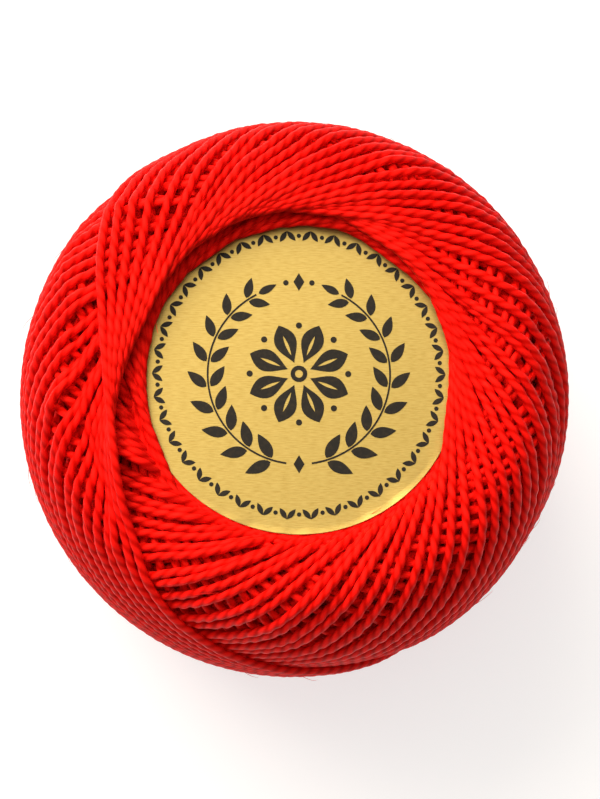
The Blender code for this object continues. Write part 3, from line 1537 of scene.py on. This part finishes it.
@dataclass
class FoilSheet:
    """The round foil paper label: flat in the middle, its rim lifted by the thread under it.

    Attributes:
        radius: The label's radius.
        level: Height of its middle.
        thread_top: Height of the thread's top at an azimuth and a distance from the axis.
        tilt: Slope of the label.
        high_side: Azimuth of the label's highest side, in radians.
        tucked_trips: Age of the oldest turns over the label, in trips round the ball.
        flat_radius: Where the rim starts to bend.
        felt_radii: Distances from the axis where the rim feels for the thread under it.
        crest_reach: How many steps to each side a crest of thread holds the rim up.
        rim_reach: How many steps to each side the rim's rise is smoothed over.
        rim_gap: How far over the thread the free rim would stand.
        rim_rise: How far the thread under the rim can bend it up.
        rim_power: How late across its width the rim rises.
        free_from: Azimuth where the rim starts to lie on the thread, in degrees.
        free_to: Azimuth where the rim goes back under the thread, in degrees.
        free_ease: Over how many degrees it does either.
        cover: How much of the rim one turn covers to each side, in degrees.
        crimp_height: Height of the crimps in the edge of the free rim.
        crimp_reach: How many steps to each side a crimp is smoothed over.
        tucked_crimp: How much of the crimps is left where the rim is tucked in.
        thickness: Thickness of the paper.
        rings: Number of rings of its mesh, from the middle to the edge.
        steps: Number of steps round it.
        rim: How far the edge is bent up at each step.
        crimp: How far it is crimped there.
    """

    radius: float
    level: float
    thread_top: Callable[[float, float], float]
    tilt: float = 0.01
    high_side: float = math.radians(285.0)
    tucked_trips: float = 1.40
    flat_radius: float = 8.5 * MM
    felt_radii: tuple[float, ...] = (8.3 * MM, 8.5 * MM, 8.7 * MM)
    crest_reach: int = 6
    rim_reach: int = 10
    rim_gap: float = 0.10 * MM
    rim_rise: float = 0.03 * MM
    rim_power: float = 1.6
    free_from: float = 222.0
    free_to: float = 334.0
    free_ease: float = 14.0
    cover: float = 16.0
    crimp_height: float = 0.03 * MM
    crimp_reach: int = 3
    tucked_crimp: float = 0.3
    thickness: float = 0.06 * MM
    rings: int = 36
    steps: int = 220
    rim: np.ndarray = field(init=False)
    crimp: np.ndarray = field(init=False)

    def __post_init__(self) -> None:
        """Work out how high the rim stands for each azimuth."""
        chance = np.random.default_rng(SEED + 1)
        angles = np.arange(self.steps) / self.steps * 360
        free = np.clip((angles - self.free_from) / self.free_ease, 0, 1)
        free = ease(free * np.clip((self.free_to - angles) / self.free_ease, 0, 1))
        under = np.array([
            max(self.thread_top(math.radians(angle), out) for out in self.felt_radii)
            for angle in angles
        ])
        wide = np.pad(under, self.crest_reach, mode="wrap")
        starts = range(2 * self.crest_reach + 1)
        crests = np.max([wide[start:start + self.steps] for start in starts], axis=0)
        turns = np.radians(angles)
        plane = self.plane(self.radius * np.cos(turns), self.radius * np.sin(turns))
        wanted = smoothed(crests, self.rim_reach, "wrap") + self.rim_gap - plane
        self.rim = np.clip(wanted, 0.0, self.rim_rise) * free
        waves = smoothed(chance.standard_normal(self.steps), self.crimp_reach, "wrap")
        self.crimp = waves * self.crimp_height
        self.crimp *= self.tucked_crimp + (1 - self.tucked_crimp) * free

    def is_under(self, turn: Turn, age: float) -> bool:
        """Tell whether the label lies under a turn.

        Args:
            turn: The turn.
            age: How long before the last turn it was laid, in trips round the ball.

        Returns:
            True if the turn passes over the label.
        """
        azimuth = math.degrees(turn.azimuth) % 360
        free = self.free_from - self.cover < azimuth < self.free_to + self.cover
        return age < self.tucked_trips and not free

    def plane(self, x: float | np.ndarray, y: float | np.ndarray) -> float | np.ndarray:
        """Return the height of the label's flat middle, carried on to a point or points."""
        toward = x * math.cos(self.high_side) + y * math.sin(self.high_side)
        return self.level + self.tilt * toward

    def height(self, x: float, y: float) -> float:
        """Work out the height of the label's face at a point.

        Args:
            x: How far along x the point is.
            y: How far along y it is.

        Returns:
            The height.
        """
        turn = math.degrees(math.atan2(y, x)) % 360 / 360 * self.steps
        low = int(turn) % self.steps
        high = (low + 1) % self.steps
        share = turn - int(turn)
        rise = self.rim[low] + (self.rim[high] - self.rim[low]) * share
        crimp = self.crimp[low] + (self.crimp[high] - self.crimp[low]) * share
        bend = (math.hypot(x, y) - self.flat_radius) / (self.radius - self.flat_radius)
        bend = min(max(bend, 0.0), 1.0)
        return self.plane(x, y) + rise * bend**self.rim_power + crimp * bend

    def build(self) -> bpy.types.Object:
        """Model the sheet.

        Returns:
            The foil.
        """
        flat_rings = self.rings // 3
        rows = list(np.linspace(0, self.flat_radius, flat_rings, endpoint=False))
        rows += list(np.linspace(self.flat_radius, self.radius, self.rings - flat_rings))
        shape = turned([(row, 0.0) for row in rows], self.steps)
        for vertex in shape.verts:
            vertex.co.z = self.height(vertex.co.x, vertex.co.y)
        bmesh.ops.recalc_face_normals(shape, faces=shape.faces)
        # An open sheet has no inside, so its faces may come out downwards.
        if sum(face.normal.z for face in shape.faces) < 0:
            bmesh.ops.reverse_faces(shape, faces=shape.faces)
        mesh = bpy.data.meshes.new("foil_label")
        shape.to_mesh(mesh)
        shape.free()
        mesh.shade_smooth()
        mesh.materials.append(GoldFoil().make())
        label = add_object("foil_label", mesh)
        paper = label.modifiers.new("paper", "SOLIDIFY")
        paper.thickness = self.thickness
        paper.offset = -1.0
        return label


Outline = list[tuple[float, float]]


@dataclass
class LabelPrint:
    """The ornament printed on the label: a leafy border, two sprays and a rosette.

    Attributes:
        sheet: The label that carries it.
        film: Height of the ink over the foil.
        border_radius: Radius of the border's middle line.
        border_units: Number of its pairs of leaves.
        border_leaf: Length, width and fullness of its leaves.
        border_lean: How far they lean from the outward direction, in radians.
        border_spread: How far the leaves of a pair are apart, as a share of a unit.
        border_dot: Radius of its dots.
        spray_radius: Radius of the two sprays.
        spray_from: Azimuth where a spray starts, in radians.
        spray_to: Azimuth where its stem ends, in radians.
        spray_leaves: Number of its pairs of leaves.
        spray_leaf: Length and width of the lowest leaves.
        spray_tip: Length and width of the leaf at its tip.
        spray_taper: How much smaller than the lowest leaves the highest ones are.
        spray_lean: How far the leaves lean from the stem, in radians.
        stem_width: Width of the stem.
        stem_gap: How far from the stem's middle line the leaves start.
        stem_points: Number of points along the stem.
        first_leaf: How far up the stem the first leaves are, in distances between pairs.
        tip_past: How far past the stem's end the leaf at the tip starts, in radians.
        petals: Number of petals of the rosette.
        petal: Length, width and fullness of a petal.
        petal_start: How far from the middle it starts.
        slit: Length, width and fullness of the slit in it.
        slit_start: How far from the middle the slit starts.
        petal_dot: Radius of the dots between the petals.
        petal_dots_radius: How far from the middle they are.
        eye: Outer and inner radius of the ring in the middle.
        diamond: Half the length and half the width of the diamonds.
        diamonds: Azimuth in radians, distance from the middle, and number of dots beside it
            on each side, for each diamond.
        diamond_dot: Radius of those dots.
        diamond_dot_angle: How far round from the diamond they are, in radians.
        leaf_points: Number of points along one side of a leaf.
        leaf_roundness: How round its side is, where 1 is a sine and less is rounder.
        dot_points: Number of points round a dot.
        outlines: The outlines drawn so far.
    """

    sheet: FoilSheet
    film: float = 0.025 * MM
    border_radius: float = 7.76 * MM
    border_units: int = 38
    border_leaf: tuple[float, float, float] = (0.72 * MM, 0.29 * MM, 0.5)
    border_lean: float = math.radians(38)
    border_spread: float = 0.34
    border_dot: float = 0.12 * MM
    spray_radius: float = 5.0 * MM
    spray_from: float = math.radians(-82)
    spray_to: float = math.radians(62)
    spray_leaves: int = 9
    spray_leaf: tuple[float, float] = (1.55 * MM, 0.66 * MM)
    spray_tip: tuple[float, float] = (1.1 * MM, 0.42 * MM)
    spray_taper: float = 0.25
    spray_lean: float = math.radians(42)
    stem_width: float = 0.10 * MM
    stem_gap: float = 0.12 * MM
    stem_points: int = 49
    first_leaf: float = 0.6
    tip_past: float = 0.03
    petals: int = 8
    petal: tuple[float, float, float] = (2.25 * MM, 1.22 * MM, 0.58)
    petal_start: float = 0.66 * MM
    slit: tuple[float, float, float] = (1.2 * MM, 0.17 * MM, 0.5)
    slit_start: float = 1.1 * MM
    petal_dot: float = 0.17 * MM
    petal_dots_radius: float = 2.7 * MM
    eye: tuple[float, float] = (0.46 * MM, 0.22 * MM)
    diamond: tuple[float, float] = (0.5 * MM, 0.3 * MM)
    diamonds: tuple[tuple[float, float, int], ...] = (
        (math.radians(90.0), 5.15 * MM, 1),
        (math.radians(270.0), 5.0 * MM, 0),
    )
    diamond_dot: float = 0.15 * MM
    diamond_dot_angle: float = 0.14
    leaf_points: int = 13
    leaf_roundness: float = 0.9
    dot_points: int = 18
    outlines: list[Outline] = field(init=False, default_factory=list)

    def place(self, shape: Outline, x: float, y: float, angle: float, side: int = 1) -> None:
        """Add a shape at a point, turned by an angle.

        Args:
            shape: The shape's points, round its own origin.
            x: How far along x its origin goes.
            y: How far along y it goes.
            angle: How far it is turned, in radians.
            side: 1, or -1 for the mirror image, with x turned round.
        """
        cosine, sine = math.cos(angle), math.sin(angle)
        self.outlines.append([
            (side * (x + px * cosine - py * sine), y + px * sine + py * cosine)
            for px, py in shape
        ])

    def leaf(self, length: float, width: float, fullness: float = 0.42) -> Outline:
        """Draw a pointed leaf from the origin along x.

        Args:
            length: Its length.
            width: Its width.
            fullness: Where it is widest, as a share of its length.

        Returns:
            Its outline.
        """
        upper = []
        # The power moves the crest of the sine from half way to where the leaf is widest.
        power = math.log(0.5) / math.log(fullness)
        for share in np.linspace(0.0, 1.0, self.leaf_points):
            swell = math.sin(math.pi * share**power) ** self.leaf_roundness
            upper.append((length * share, width / 2 * swell))
        lower = [(x, -y) for x, y in upper[-2:0:-1]]
        return upper + lower

    def dot(self, radius: float) -> Outline:
        """Draw a round dot.

        Args:
            radius: Its radius.

        Returns:
            Its outline.
        """
        turns = np.linspace(0.0, 2 * math.pi, self.dot_points, endpoint=False)
        return [(radius * math.cos(turn), radius * math.sin(turn)) for turn in turns]

    def on_circle(
        self,
        shape: Outline,
        radius: float,
        azimuth: float,
        lean: float = 0.0,
        side: int = 1,
    ) -> None:
        """Add a shape on a circle round the label's middle.

        Args:
            shape: The shape.
            radius: The circle's radius.
            azimuth: Where on the circle, in radians.
            lean: The shape's angle to the circle's outward direction, in radians.
            side: 1, or -1 for the mirror image, with x turned round.
        """
        x, y = radius * math.cos(azimuth), radius * math.sin(azimuth)
        self.place(shape, x, y, azimuth + lean, side)

    def border(self) -> None:
        """Draw a ring of leaf pairs with dots between them."""
        step = 2 * math.pi / self.border_units
        apart = step * self.border_spread / 2
        middle = self.border_leaf[0] / 2
        leaf = [(x - middle, y) for x, y in self.leaf(*self.border_leaf)]
        dot = self.dot(self.border_dot)
        for index in range(self.border_units):
            azimuth = index * step
            self.on_circle(leaf, self.border_radius, azimuth - apart, self.border_lean)
            self.on_circle(leaf, self.border_radius, azimuth + apart, -self.border_lean)
            self.on_circle(dot, self.border_radius, azimuth + step / 2)

    def spray(self, side: int) -> None:
        """Draw a leafy spray up one side of the label.

        Args:
            side: 1 for the right side, -1 for the left one.
        """
        length, width = self.spray_leaf
        turns = np.linspace(self.spray_from, self.spray_to, self.stem_points)
        inner = self.spray_radius - self.stem_width / 2
        outer = self.spray_radius + self.stem_width / 2
        stem = [(inner * math.cos(turn), inner * math.sin(turn)) for turn in turns]
        stem += [(outer * math.cos(turn), outer * math.sin(turn)) for turn in turns[::-1]]
        self.place(stem, 0.0, 0.0, 0.0, side)
        for index in range(self.spray_leaves):
            share = (index + self.first_leaf) / self.spray_leaves
            azimuth = self.spray_from + (self.spray_to - self.spray_from) * share
            size = 1.0 - self.spray_taper * share
            leaf = self.leaf(length * size, width * size)
            for outward in (1, -1):
                root = self.spray_radius + outward * self.stem_gap
                lean = math.pi / 2 - outward * self.spray_lean
                self.on_circle(leaf, root, azimuth, lean, side)
        tip = self.leaf(*self.spray_tip)
        lean = math.pi / 2 - self.tip_past
        self.on_circle(tip, self.spray_radius, self.spray_to + self.tip_past, lean, side)

    def rosette(self) -> None:
        """Draw the rosette of slit petals in the middle."""
        step = 2 * math.pi / self.petals
        petal = [(x + self.petal_start, y) for x, y in self.leaf(*self.petal)]
        slit = [(x + self.slit_start, y) for x, y in self.leaf(*self.slit)]
        dot = self.dot(self.petal_dot)
        for index in range(self.petals):
            azimuth = (index + 0.5) * step
            self.place(petal, 0.0, 0.0, azimuth)
            self.place(slit, 0.0, 0.0, azimuth)
            self.on_circle(dot, self.petal_dots_radius, azimuth + step / 2)
        for radius in self.eye:
            self.outlines.append(self.dot(radius))

    def accents(self) -> None:
        """Draw the small diamonds and dots over and under the rosette."""
        long, wide = self.diamond
        diamond = [(long, 0.0), (0.0, wide), (-long, 0.0), (0.0, -wide)]
        dot = self.dot(self.diamond_dot)
        for azimuth, radius, dots in self.diamonds:
            self.on_circle(diamond, radius, azimuth)
            for number in range(1, dots + 1):
                apart = number * self.diamond_dot_angle
                self.on_circle(dot, radius, azimuth - apart)
                self.on_circle(dot, radius, azimuth + apart)

    def build(self) -> bpy.types.Object:
        """Model the print as a thin film that follows the foil.

        Returns:
            The print.
        """
        self.border()
        self.spray(1)
        self.spray(-1)
        self.rosette()
        self.accents()
        curve = bpy.data.curves.new("label_print", "CURVE")
        curve.dimensions = "2D"
        curve.fill_mode = "BOTH"
        for outline in self.outlines:
            spline = curve.splines.new("POLY")
            spline.points.add(len(outline) - 1)
            for point, (x, y) in zip(spline.points, outline):
                point.co = (x, y, 0.0, 1.0)
            spline.use_cyclic_u = True
        mesh = curve_mesh(curve)
        for vertex in mesh.vertices:
            vertex.co.z = self.sheet.height(vertex.co.x, vertex.co.y) + self.film
        mesh.materials.clear()
        mesh.materials.append(PrintingInk().make())
        return add_object("label_print", mesh)


# --- The studio ------------------------------------------------------------------------------


@dataclass(frozen=True)
class SoftLight:
    """A square soft light that faces the ball.

    Attributes:
        name: The light's name.
        place: Where it hangs, measured from the middle of the ball.
        size: Length of its sides.
        power: Its power, in watts.
        tint: Its colour.
    """

    name: str
    place: tuple[float, float, float]
    size: float
    power: float
    tint: str

    def hang(self, target: Vector) -> None:
        """Hang the light.

        Args:
            target: The point that it faces.
        """
        light = bpy.data.lights.new(self.name, "AREA")
        light.shape = "SQUARE"
        light.size = self.size
        light.energy = self.power
        light.color = linear(self.tint)[:3]
        lamp = bpy.data.objects.new(self.name, light)
        lamp.location = target + Vector(self.place)
        lamp.rotation_euler = Vector(self.place).to_track_quat("Z", "Y").to_euler()
        bpy.context.scene.collection.objects.link(lamp)


@dataclass
class Studio:
    """A white light table, soft light and the camera over the labelled end.

    Attributes:
        target: Middle of the ball.
        radius: The ball's radius.
        elevation: How steeply the camera looks down, in radians.
        bearing: Azimuth of the side that it looks from, in radians.
        distance_radii: How far off it is, in radii of the ball.
        lens: Its focal length, in millimetres.
        sensor: Width of its sensor, in millimetres.
        shift: How far the view is shifted sideways and upwards, as shares of the sensor.
        table_reach: How far the light table reaches to each side.
        room_tint: Colour of the even light of the room.
        room_strength: Strength of that light.
        lights: The soft lights.
    """

    target: Vector
    radius: float
    elevation: float = math.radians(80.7)
    bearing: float = math.radians(-101.0)
    distance_radii: float = 9.0
    lens: float = 109.7
    sensor: float = 36.0
    shift: tuple[float, float] = (0.0090, 0.0068)
    table_reach: float = 1.5
    room_tint: str = "#fff4e8"
    room_strength: float = 0.17
    lights: tuple[SoftLight, ...] = (
        SoftLight("key_light", (-0.18, 0.24, 0.28), 0.34, 2.75, "#fff6e8"),
        SoftLight("top_light", (-0.12, 0.15, 0.42), 0.50, 1.5, "#fff8ec"),
    )

    def floor(self) -> bpy.types.Object:
        """Lay the light table.

        Returns:
            The floor.
        """
        shape = bmesh.new()
        bmesh.ops.create_grid(shape, x_segments=1, y_segments=1, size=self.table_reach)
        mesh = bpy.data.meshes.new("studio_floor")
        shape.to_mesh(mesh)
        shape.free()
        mesh.materials.append(LightTable().make())
        return add_object("studio_floor", mesh)

    def room(self) -> None:
        """Light the room evenly."""
        world = bpy.data.worlds.new("studio")
        world.use_nodes = True
        backdrop = world.node_tree.nodes["Background"]
        backdrop.inputs["Color"].default_value = linear(self.room_tint)
        backdrop.inputs["Strength"].default_value = self.room_strength
        bpy.context.scene.world = world

    def camera(self) -> None:
        """Place the camera over the labelled end, a little to the front."""
        data = bpy.data.cameras.new("camera")
        camera = bpy.data.objects.new("camera", data)
        bpy.context.scene.collection.objects.link(camera)
        level = math.cos(self.elevation)
        toward = Vector((
            level * math.cos(self.bearing),
            level * math.sin(self.bearing),
            math.sin(self.elevation),
        ))
        side = Vector((0.0, 1.0, 0.0)).cross(toward).normalized()
        over = toward.cross(side)
        place = self.target + toward * self.distance_radii * self.radius
        turn = Matrix((side, over, toward)).transposed().to_4x4()
        camera.matrix_world = Matrix.Translation(place) @ turn
        data.sensor_width = self.sensor
        data.lens = self.lens
        data.shift_x, data.shift_y = self.shift
        data.clip_start = 0.01
        data.clip_end = 10.0
        bpy.context.scene.camera = camera

    def build(self) -> bpy.types.Object:
        """Set up the studio.

        Returns:
            The floor.
        """
        self.camera()
        self.room()
        for light in self.lights:
            light.hang(self.target)
        bpy.context.scene.view_settings.view_transform = "Standard"
        return self.floor()


def main() -> None:
    """Build the ball, its label and the studio, and report each piece."""
    logging.basicConfig(level=logging.INFO, format="%(name)s: %(message)s")
    low, high = (Vector(corner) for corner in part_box("ball"))
    middle = Vector((0.0, 0.0, BALL_HEIGHT / 2))
    floor = Studio(middle, (high.x - low.x) / 2).build()
    ball = ThreadBall(low, high)
    label_low, label_high = (Vector(corner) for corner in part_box("label"))
    radius = (label_high.x - label_low.x) / 2 + LABEL_TUCK
    sheet = FoilSheet(radius, LABEL_LEVEL, ball.thread_top)
    for piece in ball.build(sheet):
        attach(piece, "root")
        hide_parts("ball")
        LOG.info("%s rides on root", piece.name)
    for piece in (sheet.build(), LabelPrint(sheet).build()):
        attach(piece, "root")
        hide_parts("label")
        LOG.info("%s rides on root", piece.name)


if __name__ == "__main__":
    main()
